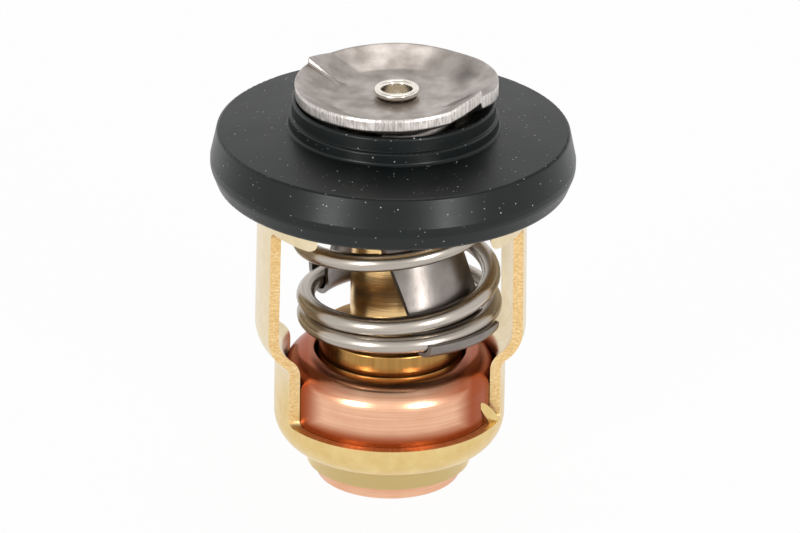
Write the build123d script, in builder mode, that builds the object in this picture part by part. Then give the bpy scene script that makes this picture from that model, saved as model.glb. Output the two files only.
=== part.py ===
"""Engine thermostat: a poppet valve that a wax element lifts off its rubber seat.

Millimetres, +Z up. The origin is the middle of the copper nose, the lowest point, on the valve's axis.
Each round piece is a closed section, drawn as radius and height, turned about its axis.
"""

import os
from math import cos, pi, radians, sin, tan

from build123d import *

os.makedirs("parts", exist_ok=True)

# Clearances
slip = 0.05  # between a piece and the bore that it slides or sits in
snug = 0.02  # between pieces pressed, moulded or poured together

# Brass frame: collar, bowl, waist and cage, drawn from one sheet
sheet = 1.0
collar_r = 8.6
collar_height = 1.9
bowl_r = 12.1
bowl_corner = 3.7
bowl_height = 8.6
waist_angle = 53.0
waist_inner_bend = 1.2
waist_outer_bend = 4.0
cage_r = 14.0
cage_height = 29.3
leg_width = 9.7
leg_turn = 7.0
sill_height = 4.1
window_corner = 0.7
head_height = 3.35
head_half_width = 9.0
head_corner = 1.1
tab_reach = 1.6

# Flange plate inside the rubber
plate_thickness = 1.0
plate_reach = 2.6  # past the cage

# Rubber seal: flange, bead and seat collar
seal_cover = 2.4  # past the plate, which makes the flange 38 across
seal_band = 0.8
seal_under = 0.6
seal_under_inset = 0.75
seal_under_corner = 0.6
seal_side_low = 1.9
seal_side_bend = 1.4
seal_top_inset = 0.65
seal_height = 5.8
seal_crown = 0.5
bead_r = 10.9
bead_height = 1.35
lip_r = 10.6
lip_corner = 0.3
flow_r = 8.6

# Copper wax cup
nose_reach = 1.65
nose_corner = 0.4
nose_wall = 0.8
cup_gap = 0.2
cup_height = 8.7
cup_top_corner = 2.7
cup_rim_wall = 0.8
cup_lip = 0.7
cup_mouth_r = 7.95
cup_wall = 1.5
wax_corner = 0.8

# Guide, turned from brass, and what its bore holds
guide_flange = 1.7
guide_edge = 1.4
hub_r = 7.45
hub_height = 3.9
hub_foot_reach = 0.15
hub_foot_height = 1.17
hub_foot_slope = 0.25
stem_r = 4.25
stem_height = 18.7
edge_break = 0.35
plug_bore_r = 3.3
plug_bore_depth = 1.8
plug_taper = 2.4
plug_neck = 1.6
diaphragm_thickness = 0.9
slip_disc_thickness = 0.8
piston_r = 1.8

# Return spring, right-handed, closed at both ends
wire = 1.95
coil_r = 9.78
spring_reach = 14.9
coil_turns = 3.6
first_turn = -0.29
closed_pitch = 2.0
open_from_turn = 0.88
open_to_turn = 2.23
open_ease_turns = 0.25
hook_lead_turns = 0.08
points_per_turn = 12
quarter_turn = 0.25

# Valve: steel disc, rivet and stirrup, which hang a little askew on the piston
valve_shift = 0.35
valve_tilt = 1.6
valve_high_side = -20.0
seat_gap = 0.38
disc_r = 10.55
disc_sheet = 1.3
disc_floor_r = 6.9
disc_bend = 4.0
rim_angle = 25.0
disc_lift_above_plate = 7.9
rib_from = 5.4
front_rib_turn = -34.0
front_rib_width = 4.2
front_rib_rise = 1.1
front_rib_step = 0.6
rear_rib_turn = 153.0
rear_rib_width = 3.8
rear_rib_rise = 0.38
rear_rib_step = 0.3
shank_r = 1.9
rivet_bore_r = 1.6
rivet_head_r = 2.4
rivet_head = 1.0
rivet_base_r = 2.9
rivet_base = 0.9
strap = 0.5
strap_width = 9.3
foot_width = 9.4
foot_shift = 0.9
strap_turn = -53.0
strap_bend = 1.6
leg_r = 6.1
flare_top = 8.7
flare_low = 1.6
flare_bend = 3.0
hook_gap = 0.08
near_lip = 0.1
far_lip = 1.5

# Heights, from the base up
collar_z = nose_reach
bowl_z = collar_z + collar_height
floor_z = bowl_z + sheet
waist_z = bowl_z + bowl_height
sill_z = bowl_z + sill_height
plate_z = floor_z + cage_height
head_z = plate_z - head_height
plate_top_z = plate_z + plate_thickness
tab_top_z = plate_top_z + sheet
cup_top_z = floor_z + cup_height
flange_top_z = cup_top_z - cup_lip
flange_z = flange_top_z - guide_flange
ledge_z = flange_z - diaphragm_thickness
hub_foot_z = flange_top_z + hub_foot_height
hub_top_z = flange_top_z + hub_height
stem_top_z = hub_top_z + stem_height
taper_z = flange_z + plug_bore_depth
neck_z = taper_z + plug_taper
plug_top_z = neck_z + plug_neck
slip_disc_top_z = plug_top_z + slip_disc_thickness
seal_z = plate_z - seal_under
seal_top_z = seal_z + seal_height
bead_z = seal_top_z + seal_crown
disc_z = plate_top_z + disc_lift_above_plate
bridge_z = disc_z - disc_sheet - strap
rivet_z = bridge_z - rivet_base
piston_top_z = rivet_z - 2 * slip
spring_top_z = plate_z - wire / 2 - snug
hook_r = wire / 2 + hook_gap
hook_z = plate_z - spring_reach
far = 2 * cage_r

# Radii that follow the cage
plate_r = cage_r + plate_reach
seal_r = plate_r + seal_cover
seal_under_r = seal_r - seal_under_inset
seal_top_r = seal_r - seal_top_inset

# Radii that follow the bowl
cup_r = bowl_r - sheet - cup_gap
cup_low_corner = bowl_corner - sheet
pocket_r = cup_r - cup_rim_wall
wax_bore_r = cup_r - cup_wall
nose_r = collar_r - sheet - snug

upright = Plane.XZ


def outline(*corners):
    """Draw a closed section from (radius, height, corner radius) triples."""
    points = [(r, z) for r, z, _ in corners]
    FilletPolyline(*points, radius=[corner for _, _, corner in corners], close=True)


def turned(plane, axis, *corners):
    """Turn a closed section about an axis that lies in its plane."""
    with BuildSketch(plane) as section:
        with BuildLine():
            outline(*corners)
        make_face()
    revolve(section.sketch, axis=axis)


def finish(name, part):
    """Label a finished piece and write it out."""
    part.label = name
    export_step(part, f"parts/{name}.step")


# Brass frame. The waist joins the bowl to the cage by two bends, whose radii share their centres
# through the sheet.
waist_run = waist_inner_bend + waist_outer_bend
waist_step = waist_run * (1 - cos(radians(waist_angle)))
waist_slant = max((cage_r - bowl_r - waist_step) / sin(radians(waist_angle)), snug)
legs_plane = Plane.XY.rotated((0, 0, leg_turn))
window_plane = Plane(origin=(0, 0, 0), x_dir=legs_plane.y_dir, z_dir=legs_plane.x_dir)
head_plane = Plane(origin=(0, 0, 0), x_dir=legs_plane.x_dir, z_dir=-legs_plane.y_dir)
window_middle_z = (sill_z + head_z) / 2

with BuildPart() as frame:
    with BuildSketch(upright):
        with BuildLine():
            rise = Line((collar_r, collar_z), (collar_r, bowl_z))
            bowl = RadiusArc(rise @ 1, (bowl_r, bowl_z + bowl_corner), -bowl_corner)
            side = Line(bowl @ 1, (bowl_r, waist_z))
            inner_bend = JernArc(side @ 1, side % 1, waist_inner_bend, -waist_angle)
            slant = Line(inner_bend @ 1, inner_bend @ 1 + (inner_bend % 1) * waist_slant)
            outer_bend = JernArc(slant @ 1, slant % 1, waist_outer_bend, waist_angle)
            Line(outer_bend @ 1, (cage_r, tab_top_z))
            offset(amount=sheet, side=Side.LEFT)
        make_face()
    revolve(axis=Axis.Z)
    # Tabs that are bent out over the flange plate
    with BuildSketch(Plane.XY.offset(plate_top_z)):
        Circle(cage_r + tab_reach)
        Circle(cage_r - sheet, mode=Mode.SUBTRACT)
    extrude(amount=sheet)
    # Front and rear windows, which leave two straight-sided legs
    with BuildSketch(window_plane):
        for side_sign in (1, -1):
            with Locations((side_sign * (leg_width / 2 + far / 2), window_middle_z)):
                RectangleRounded(far, head_z - sill_z, window_corner)
    extrude(amount=far, both=True, mode=Mode.SUBTRACT)
    # Gaps between the two heads, with round corners where they meet the windows
    with BuildSketch(head_plane):
        with BuildLine():
            corner_low = (head_half_width + head_corner, head_z)
            corner_high = (head_half_width, head_z + head_corner)
            RadiusArc(corner_high, corner_low, -head_corner)
            Polyline(
                corner_low,
                (head_half_width + head_corner, window_middle_z),
                (0, window_middle_z),
                (0, far * 2),
                (head_half_width, far * 2),
                corner_high,
            )
        make_face()
        mirror(about=Plane.YZ)
    extrude(amount=far, both=True, mode=Mode.SUBTRACT)

finish("frame", frame.part)

# Flange plate, with two slots for the frame's heads
slot_half_width = head_half_width - slip

with BuildPart() as flange_plate:
    with BuildSketch(Plane.XY.offset(plate_z)):
        Circle(plate_r)
        Circle(flow_r, mode=Mode.SUBTRACT)
    extrude(amount=plate_thickness)
    with BuildSketch(legs_plane.offset(plate_z)):
        Circle(cage_r + slip)
        Circle(cage_r - sheet - slip, mode=Mode.SUBTRACT)
        Rectangle(2 * slot_half_width, far * 2, mode=Mode.SUBTRACT)
    extrude(amount=plate_thickness, mode=Mode.SUBTRACT)

finish("flange_plate", flange_plate.part)

# Rubber seal, moulded round the plate and the heads. Its lip follows the cone of the valve disc.
rim_slope = tan(radians(rim_angle))
disc_under_r = disc_floor_r + disc_sheet * tan(radians(rim_angle / 2))
cone_foot_z = disc_z - disc_sheet - seat_gap
lip_z = cone_foot_z + (lip_r - disc_under_r) * rim_slope
lip_inner_z = cone_foot_z + (flow_r - disc_under_r) * rim_slope
band_low_z = seal_z + seal_side_low

with BuildPart() as seal_ring:
    turned(
        upright,
        Axis.Z,
        (cage_r - sheet - slip, plate_z, 0),
        (cage_r + slip, seal_z, 0),
        (seal_under_r, seal_z, seal_under_corner),
        (seal_r, band_low_z, seal_side_bend),
        (seal_r, band_low_z + seal_band, 0.3),
        (seal_top_r, seal_top_z, 0.35),
        (bead_r, bead_z, 0.3),
        (bead_r, bead_z + bead_height, 0.25),
        (lip_r, bead_z + bead_height, 0.08),
        (lip_r, lip_z, lip_corner),
        (flow_r, lip_inner_z, 0.2),
        (flow_r, plate_top_z, 0),
        (cage_r - sheet - slip, plate_top_z, 0),
    )
    add(flange_plate.part, mode=Mode.SUBTRACT)
    add(frame.part, mode=Mode.SUBTRACT)

finish("seal_ring", seal_ring.part)

# Wax cup, stepped down to the nose and rolled over the guide's flange
with BuildPart() as wax_cup:
    turned(
        upright,
        Axis.Z,
        (0, 0, 0),
        (nose_r, 0, nose_corner),
        (nose_r, floor_z, 0),
        (cup_r, floor_z, cup_low_corner),
        (cup_r, cup_top_z, cup_top_corner),
        (cup_mouth_r, cup_top_z, 0.2),
        (cup_mouth_r, flange_top_z, 0),
        (pocket_r, flange_top_z, guide_edge),
        (pocket_r, ledge_z, 0),
        (wax_bore_r, ledge_z, 0),
        (wax_bore_r, floor_z + nose_wall, wax_corner),
        (nose_r - nose_wall, floor_z + nose_wall, 0),
        (nose_r - nose_wall, nose_wall, nose_corner / 2),
        (0, nose_wall, 0),
    )

finish("wax_cup", wax_cup.part)

with BuildPart() as wax_charge:
    turned(
        upright,
        Axis.Z,
        (0, nose_wall + snug, 0),
        (nose_r - nose_wall - snug, nose_wall + snug, nose_corner / 2),
        (nose_r - nose_wall - snug, floor_z + nose_wall + snug, 0),
        (wax_bore_r - snug, floor_z + nose_wall + snug, wax_corner),
        (wax_bore_r - snug, ledge_z - snug, 0),
        (0, ledge_z - snug, 0),
    )

finish("wax_charge", wax_charge.part)

with BuildPart() as diaphragm:
    with BuildSketch(Plane.XY.offset(ledge_z)):
        Circle(pocket_r - slip)
    extrude(amount=diaphragm_thickness)

finish("diaphragm", diaphragm.part)

# Guide: clamped flange, hub and stem, with a bore that narrows from the plug to the piston
bore_r = piston_r + slip

with BuildPart() as guide_body:
    turned(
        upright,
        Axis.Z,
        (plug_bore_r, flange_z, 0),
        (pocket_r - slip, flange_z, 0),
        (pocket_r - slip, flange_top_z, guide_edge),
        (hub_r + hub_foot_reach, flange_top_z, 0),
        (hub_r + hub_foot_reach, hub_foot_z, 0),
        (hub_r, hub_foot_z + hub_foot_slope, 0),
        (hub_r, hub_top_z, edge_break),
        (stem_r, hub_top_z, edge_break),
        (stem_r, stem_top_z, edge_break),
        (bore_r, stem_top_z, 0),
        (bore_r, neck_z, 0),
        (plug_bore_r, taper_z, 0),
    )

finish("guide_body", guide_body.part)

with BuildPart() as rubber_plug:
    turned(
        upright,
        Axis.Z,
        (0, flange_z, 0),
        (plug_bore_r - snug, flange_z, 0),
        (plug_bore_r - snug, taper_z - snug, 0),
        (bore_r - snug, neck_z - snug, 0),
        (bore_r - snug, plug_top_z, 0),
        (0, plug_top_z, 0),
    )

finish("rubber_plug", rubber_plug.part)

with BuildPart() as anti_extrusion_disc:
    with BuildSketch(Plane.XY.offset(plug_top_z)):
        Circle(piston_r)
    extrude(amount=slip_disc_thickness)

finish("anti_extrusion_disc", anti_extrusion_disc.part)

with BuildPart() as piston_pin:
    turned(
        upright,
        Axis.Z,
        (0, slip_disc_top_z, 0),
        (piston_r, slip_disc_top_z, 0.2),
        (piston_r, piston_top_z, 0.5),
        (0, piston_top_z, 0),
    )

finish("piston_pin", piston_pin.part)

# The valve's own frame leans about the piston's tip, so that its high side is up, and sits a little to
# one side
lean = radians(valve_tilt)
high = radians(valve_high_side)
valve_up = Vector(-sin(lean) * cos(high), -sin(lean) * sin(high), cos(lean))
valve_base = Vector(valve_shift, 0, piston_top_z) - valve_up * piston_top_z
valve_plane = Plane(origin=valve_base, x_dir=(cos(lean), 0, sin(lean) * cos(high)), z_dir=valve_up)
valve_section = Plane(origin=valve_base, x_dir=valve_plane.x_dir, z_dir=-valve_plane.y_dir)
valve_axis = Axis(valve_base, valve_up)

# Valve disc: a flat floor and a cone rim, sheared square at the edge
rim_z = disc_z + (disc_r - disc_floor_r) * rim_slope
rim_under_z = disc_z - disc_sheet + (disc_r - disc_under_r) * rim_slope


def turned_valve(turn):
    """The valve's own frame, turned about its own axis."""
    toward = valve_plane.from_local_coords(Vector(cos(radians(turn)), sin(radians(turn)), 0))
    return Plane(origin=valve_base, x_dir=toward - valve_base, z_dir=valve_up)


def rib_wedge(turn, width, rise, step, depth, low_z, high_z):
    """Wedge under a rib's crest: slow on one side, with a step on the other, from floor to rim."""
    run = width / rise
    radial = turned_valve(turn)
    start = radial.from_local_coords(Vector(rib_from, 0, low_z))
    crest = radial.from_local_coords(Vector(disc_r, 0, high_z + rise)) - start
    with BuildPart(mode=Mode.PRIVATE) as wedge:
        with BuildSketch(Plane(origin=start, x_dir=radial.y_dir, z_dir=crest)):
            with BuildLine():
                slow_foot = (-depth * run, -depth)
                step_foot = ((depth - step) * run, -depth)
                Polyline((0, 0), slow_foot, step_foot, (0, -step), close=True)
            make_face()
        extrude(amount=crest.length + rise)
    return wedge.part


with BuildPart() as valve_disc:
    turned(
        valve_section,
        valve_axis,
        (shank_r + snug, disc_z - disc_sheet, 0),
        (disc_under_r, disc_z - disc_sheet, disc_bend + disc_sheet),
        (disc_r, rim_under_z, 0),
        (disc_r, rim_z, 0.12),
        (disc_floor_r, disc_z, disc_bend),
        (shank_r + snug, disc_z, 0),
    )
    for turn, width, rise, step in (
        (front_rib_turn, front_rib_width, front_rib_rise, front_rib_step),
        (rear_rib_turn, rear_rib_width, rear_rib_rise, rear_rib_step),
    ):
        add(rib_wedge(turn, width, rise, step, rise, disc_z, rim_z))
        under = rib_wedge(turn, width, rise, step, disc_sheet, disc_z - disc_sheet, rim_under_z)
        add(under, mode=Mode.SUBTRACT)
    with BuildSketch(valve_plane):
        Circle(disc_r)
    extrude(amount=far * 2, mode=Mode.INTERSECT)

finish("valve_disc", valve_disc.part)

with BuildPart() as centre_rivet:
    turned(
        valve_section,
        valve_axis,
        (0, rivet_z, 0),
        (rivet_base_r, rivet_z, 0.25),
        (rivet_base_r, bridge_z, 0),
        (shank_r, bridge_z, 0),
        (shank_r, disc_z, 0),
        (rivet_head_r, disc_z + rivet_head / 2, 0.2),
        (rivet_head_r, disc_z + rivet_head, 0.3),
        (rivet_bore_r, disc_z + rivet_head, 0.35),
        (rivet_bore_r, bridge_z, 0.3),
        (0, bridge_z, 0),
    )

finish("centre_rivet", centre_rivet.part)

# Stirrup: a strap folded down from its bridge, flared, and curled up round the spring's bottom coil,
# which climbs half a pitch from the near foot to the far one
hook_in_r = coil_r - hook_r
strap_plane = turned_valve(strap_turn)
strap_face = Plane(origin=valve_base, x_dir=strap_plane.y_dir, z_dir=strap_plane.x_dir)

with BuildPart() as stirrup:
    for side_sign, foot_z, lip in ((1, hook_z, near_lip), (-1, hook_z + closed_pitch / 2, far_lip)):
        with BuildPart(mode=Mode.PRIVATE) as half:
            with BuildSketch(valve_section):
                with BuildLine():
                    FilletPolyline(
                        (shank_r + snug, bridge_z + strap),
                        (leg_r, bridge_z + strap),
                        (leg_r, foot_z + flare_top),
                        (hook_in_r, foot_z + flare_low),
                        (hook_in_r, foot_z),
                        radius=(strap_bend, flare_bend, flare_bend),
                    )
                    curl = CenterArc((coil_r, foot_z), hook_r, 180, 180)
                    Line(curl @ 1, (coil_r + hook_r, foot_z + lip))
                    offset(amount=strap, side=Side.RIGHT)
                make_face()
            revolve(axis=valve_axis)
            with BuildSketch(strap_face):
                with BuildLine():
                    Polyline(
                        (-strap_width / 2, far * 2),
                        (strap_width / 2, far * 2),
                        (strap_width / 2, foot_z + flare_top),
                        (foot_shift + foot_width / 2, foot_z),
                        (foot_shift + foot_width / 2, 0),
                        (foot_shift - foot_width / 2, 0),
                        (foot_shift - foot_width / 2, foot_z),
                        (-strap_width / 2, foot_z + flare_top),
                        close=True,
                    )
                make_face()
            extrude(amount=side_sign * far, mode=Mode.INTERSECT)
        add(half.part)

finish("stirrup", stirrup.part)

# Return spring. Its lowest coils lie square to the valve and its top coil square to the flange plate, so
# the path is worked out in both frames and blended up the open stretch.
hook_turn = strap_turn / 360 + quarter_turn
spring_low_z = hook_z - closed_pitch * (hook_turn - first_turn - hook_lead_turns)
open_climb = spring_top_z - spring_low_z - closed_pitch * coil_turns
open_pitch = open_climb / (open_to_turn - open_from_turn)
closed_top_z = spring_low_z + closed_pitch * (open_from_turn - first_turn)


def eased(turn):
    """Climb that starts from level and is at its full rate after one easing length."""
    part_way = min(max(turn / open_ease_turns, 0), 1)
    return open_ease_turns * (part_way**3 - part_way**4 / 2) + max(turn - open_ease_turns, 0)


def coil_z(turn):
    """Height of the wire's middle: closed pitch throughout, with an open stretch between."""
    climb = eased(turn - open_from_turn) - eased(turn - open_to_turn)
    return spring_low_z + closed_pitch * (turn - first_turn) + open_pitch * climb


def coil_point(turn):
    """Middle of the wire, a number of turns on from the front."""
    angle = 2 * pi * turn - pi / 2
    level = Vector(coil_r * cos(angle), coil_r * sin(angle), coil_z(turn))
    share = max(level.Z - closed_top_z, 0) / (spring_top_z - closed_top_z)
    return valve_plane.from_local_coords(level) * (1 - share) + level * share


path_steps = round(coil_turns * points_per_turn)

with BuildPart() as return_spring:
    with BuildLine() as coil:
        Spline(*[coil_point(first_turn + coil_turns * i / path_steps) for i in range(path_steps + 1)])
    with BuildSketch(Plane(origin=coil.line @ 0, z_dir=coil.line % 0)):
        Circle(wire / 2)
    sweep(path=coil.line)

finish("return_spring", return_spring.part)
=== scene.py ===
# %% [markdown]
# # An engine thermostat
# A small poppet valve from a cooling circuit: a dished steel valve disc on a black rubber seal, a pale
# brass cage, a steel spring, and a copper cup full of wax. This lesson loads the finished solids, gives
# each one the finish of the real metal or rubber, and builds anew the pieces whose detail is too fine
# for a solid model: the pressed disc, the wound spring and the burr that the stamping die left. The cage
# and the cup are moved copies of their solids, because the photograph shows them a little differently.

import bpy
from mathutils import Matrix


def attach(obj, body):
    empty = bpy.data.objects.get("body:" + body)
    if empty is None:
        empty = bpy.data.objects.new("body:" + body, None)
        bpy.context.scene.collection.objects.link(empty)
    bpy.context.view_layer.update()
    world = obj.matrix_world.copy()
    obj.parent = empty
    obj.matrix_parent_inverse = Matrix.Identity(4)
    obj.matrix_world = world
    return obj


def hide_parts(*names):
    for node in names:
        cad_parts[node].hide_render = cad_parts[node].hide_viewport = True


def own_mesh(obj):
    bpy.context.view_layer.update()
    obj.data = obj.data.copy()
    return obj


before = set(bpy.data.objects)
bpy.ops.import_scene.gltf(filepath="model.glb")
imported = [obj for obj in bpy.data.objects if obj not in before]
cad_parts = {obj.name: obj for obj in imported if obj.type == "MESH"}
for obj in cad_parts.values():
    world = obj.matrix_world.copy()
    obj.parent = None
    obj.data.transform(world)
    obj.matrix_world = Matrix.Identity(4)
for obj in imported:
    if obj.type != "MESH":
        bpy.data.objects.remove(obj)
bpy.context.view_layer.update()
print("solids:", sorted(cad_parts))

# %% Other modules and the unit
from math import cos, exp, pi, radians, sin, sqrt, tan

import bmesh
import bpy
from mathutils import Matrix, Vector, noise

MM = 0.001
HOUSING = "housing"
VALVE = "valve"

# %% [markdown]
# ## Three helpers
# Colours are written as on a paint card, in sRGB hex. A shader wants linear light, so one function turns
# them. Node trees are long when written by hand, so one function adds a node, sets it and links it. The
# third starts a material, and sets the values that are even over the whole surface.

# %% Colour and node helpers


def linear(hex_colour):
    """Turn an sRGB hex colour into the linear RGBA that a shader takes."""
    channels = [int(hex_colour[i : i + 2], 16) / 255 for i in (1, 3, 5)]
    return [c / 12.92 if c <= 0.04045 else ((c + 0.055) / 1.055) ** 2.4 for c in channels] + [1.0]


def add(tree, kind, inputs=None, **settings):
    """Add a node with its settings, and fill its inputs with values or links."""
    node = tree.nodes.new(kind)
    for key, value in settings.items():
        setattr(node, key, value)
    for key, value in (inputs or {}).items():
        if isinstance(value, bpy.types.NodeSocket):
            tree.links.new(value, node.inputs[key])
        else:
            node.inputs[key].default_value = value
    return node


def finish(name, **plain):
    """Start a finish: a material with one Principled shader, whose even values are set on it."""
    made = bpy.data.materials.new(name)
    made.use_nodes = True
    shader = made.node_tree.nodes["Principled BSDF"]
    for key, value in plain.items():
        shader.inputs[key.replace("_", " ")].default_value = value
    made.diffuse_color = shader.inputs["Base Color"].default_value
    return made, made.node_tree, shader


# %% [markdown]
# ## Where the camera stands
# The photograph looks down at about 24 degrees through a long lens, so lines stay nearly parallel. The
# camera stands 0.95 m away, and it is rolled by a degree, because the part leans that much in the frame.

# %% Camera
CAMERA_ELEVATION = radians(24.2)
CAMERA_DISTANCE = 0.95
CAMERA_ROLL = radians(0.95)
CAMERA_LENS = 409.6
aim = Vector((0.9, 0.0, 23.4)) * MM

camera = bpy.data.objects.new("camera", bpy.data.cameras.new("camera"))
bpy.context.scene.collection.objects.link(camera)
camera.data.lens = CAMERA_LENS
camera.data.sensor_width = 36.0
back = Vector((0.0, -cos(CAMERA_ELEVATION), sin(CAMERA_ELEVATION)))
camera.location = aim + back * CAMERA_DISTANCE
camera.rotation_mode = "QUATERNION"
roll = Matrix.Rotation(CAMERA_ROLL, 4, "Z").to_quaternion()
camera.rotation_quaternion = (-back).to_track_quat("-Z", "Y") @ roll
bpy.context.scene.camera = camera
print("camera at", [round(v, 3) for v in camera.location])

# %% Colours as they are written
bpy.context.scene.view_settings.view_transform = "Standard"

# %% [markdown]
# ## Background and floor
# A product photograph has a white sweep under a darker ceiling. The world is white round the horizon
# and grey above, where the camera or a reflection sees it, and dimmer as a lamp, so that it doesn't
# flatten the shading. The floor glows white in the same way, and a little of its own shading is left
# in, which keeps the part's shadow.

# %% World
SKY_AS_LAMP = 0.7
CEILING_STARTS = 0.5
CEILING_IS_FULL = 0.75
world = bpy.data.worlds.new("studio")
bpy.context.scene.world = world
world.use_nodes = True
tree = world.node_tree
tree.nodes.clear()
path = add(tree, "ShaderNodeLightPath")
rays = {0: path.outputs["Is Camera Ray"], 1: path.outputs["Is Glossy Ray"]}
seen = add(tree, "ShaderNodeMath", rays, operation="MAXIMUM")
rays = {0: seen.outputs[0], 1: path.outputs["Is Transmission Ray"]}
seen = add(tree, "ShaderNodeMath", rays, operation="MAXIMUM")
level = add(tree, "ShaderNodeMapRange", {"Value": seen.outputs[0], "To Min": SKY_AS_LAMP, "To Max": 1.0})
place = add(tree, "ShaderNodeTexCoord")
height = add(tree, "ShaderNodeSeparateXYZ", {0: place.outputs["Generated"]})
span = {"Value": height.outputs[2], "From Min": CEILING_STARTS, "From Max": CEILING_IS_FULL}
ceiling = add(tree, "ShaderNodeMapRange", span)
colour = {0: ceiling.outputs[0], 6: linear("#ffffff"), 7: linear("#cfcdcb")}
colour = add(tree, "ShaderNodeMix", colour, data_type="RGBA")
sky = add(tree, "ShaderNodeBackground", {"Color": colour.outputs[2], "Strength": level.outputs[0]})
add(tree, "ShaderNodeOutputWorld", {"Surface": sky.outputs[0]})

# %% Floor
FLOOR_GLOW = 0.96
white_paper, tree, shader = finish("white_paper_sweep", Base_Color=linear("#f4f4f2"), Roughness=0.7)
shader.inputs["Specular IOR Level"].default_value = 0.2
path = add(tree, "ShaderNodeLightPath")
rays = {0: path.outputs["Is Camera Ray"], 1: path.outputs["Is Glossy Ray"]}
seen = add(tree, "ShaderNodeMath", rays, operation="MAXIMUM")
share = add(tree, "ShaderNodeMath", {0: seen.outputs[0], 1: FLOOR_GLOW}, operation="MULTIPLY")
glow = add(tree, "ShaderNodeEmission", {"Color": linear("#ffffff"), "Strength": 1.0})
layers = {0: share.outputs[0], 1: shader.outputs[0], 2: glow.outputs[0]}
mixed = add(tree, "ShaderNodeMixShader", layers)
tree.links.new(mixed.outputs[0], tree.nodes["Material Output"].inputs["Surface"])

half = 3.0
corners = [(-half, -half, 0), (half, -half, 0), (half, half, 0), (-half, half, 0)]
sweep_mesh = bpy.data.meshes.new("floor")
sweep_mesh.from_pydata(corners, [], [(0, 1, 2, 3)])
sweep_mesh.materials.append(white_paper)
floor = bpy.data.objects.new("floor", sweep_mesh)
bpy.context.scene.collection.objects.link(floor)
print("floor is", 2 * half, "m wide")

# %% [markdown]
# ## Lamps
# Two soft boxes stand left and right of the camera, low and close to the table, because the highlights
# on the rubber's rim and the copper cup lie a little left and right of their middles. A weak third box
# hangs above and behind, and lights the disc's far side.

# %% Lamps
LAMPS = (
    # name, azimuth from the camera, elevation, distance, width, height, watts
    ("left_box", -37, 9, 0.8, 0.12, 0.26, 2.7),
    ("right_box", 34, 9, 0.8, 0.12, 0.26, 2.7),
    ("top_box", 165, 72, 0.8, 0.5, 0.3, 0.9),
)
for name, azimuth, elevation, distance, width, tall, watts in LAMPS:
    lamp = bpy.data.lights.new(name, "AREA")
    lamp.shape = "RECTANGLE"
    lamp.size = width
    lamp.size_y = tall
    lamp.energy = watts
    holder = bpy.data.objects.new(name, lamp)
    bpy.context.scene.collection.objects.link(holder)
    a, e = radians(azimuth), radians(elevation)
    out = Vector((sin(a) * cos(e), -cos(a) * cos(e), sin(e)))
    holder.location = Vector((0, 0, 0.02)) + out * distance
    holder.rotation_mode = "QUATERNION"
    holder.rotation_quaternion = (-out).to_track_quat("-Z", "Y")
print("lamps:", [lamp[0] for lamp in LAMPS])

# %% [markdown]
# ## Brass sheet, bright dipped
# The cage is stamped and drawn from brass sheet, then dipped in acid, which leaves a pale, faintly
# mottled skin. Where the die sheared the windows, the cut faces are yellower, and torn straight through
# the sheet in fine lines. Those faces can be told by their direction: above the bowl they point along
# the sheet, not outwards. Their lines are drawn on the cylinder that the sheet was cut from.

# %% Brass sheet
brass_sheet_colour = linear("#e4c683")
dipped_brass, tree, shader = finish("dipped_brass_sheet", Metallic=1.0, Base_Color=brass_sheet_colour)
place = add(tree, "ShaderNodeTexCoord")
geometry = add(tree, "ShaderNodeNewGeometry")
split = add(tree, "ShaderNodeSeparateXYZ", {0: place.outputs["Object"]})
flat = add(tree, "ShaderNodeCombineXYZ", {0: split.outputs[0], 1: split.outputs[1]})
outward = add(tree, "ShaderNodeVectorMath", {0: flat.outputs[0]}, operation="NORMALIZE")
pair = {0: outward.outputs[0], 1: geometry.outputs["True Normal"]}
facing = add(tree, "ShaderNodeVectorMath", pair, operation="DOT_PRODUCT")
square = add(tree, "ShaderNodeMath", {0: facing.outputs["Value"]}, operation="ABSOLUTE")
cut = add(tree, "ShaderNodeMapRange", {"Value": square.outputs[0], "From Min": 0.55, "From Max": 0.4})
span = {"Value": split.outputs[2], "From Min": 7.25 * MM, "From Max": 7.55 * MM}
high = add(tree, "ShaderNodeMapRange", span)
cut = add(tree, "ShaderNodeMath", {0: cut.outputs[0], 1: high.outputs[0]}, operation="MULTIPLY")
# The burr stores that it is skin all over
skin_only = add(tree, "ShaderNodeAttribute", attribute_name="skin_only")
cut = {0: cut.outputs[0], 1: skin_only.outputs["Fac"]}
cut = add(tree, "ShaderNodeMath", cut, operation="SUBTRACT", use_clamp=True)

# %% Brass sheet: the dipped skin
# Mottling of the skin, about 1.5 mm across, and drawing marks that run up the sheet
skin_place = {"Vector": place.outputs["Object"], "Scale": 1 / (1.5 * MM), "Detail": 5.0, "Roughness": 0.6}
mottle = add(tree, "ShaderNodeTexNoise", skin_place)
tones = {0: mottle.outputs[0], 6: linear("#f0d79c"), 7: linear("#d6b36c")}
low_skin = add(tree, "ShaderNodeMix", tones, data_type="RGBA")
tones = {0: mottle.outputs[0], 6: linear("#f3e4c6"), 7: linear("#dcc79c")}
leg_skin = add(tree, "ShaderNodeMix", tones, data_type="RGBA")
span = {"Value": split.outputs[2], "From Min": 10.0 * MM, "From Max": 14.0 * MM}
on_leg = add(tree, "ShaderNodeMapRange", span)
layers = {0: on_leg.outputs[0], 6: low_skin.outputs[2], 7: leg_skin.outputs[2]}
upper_skin = add(tree, "ShaderNodeMix", layers, data_type="RGBA")
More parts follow.
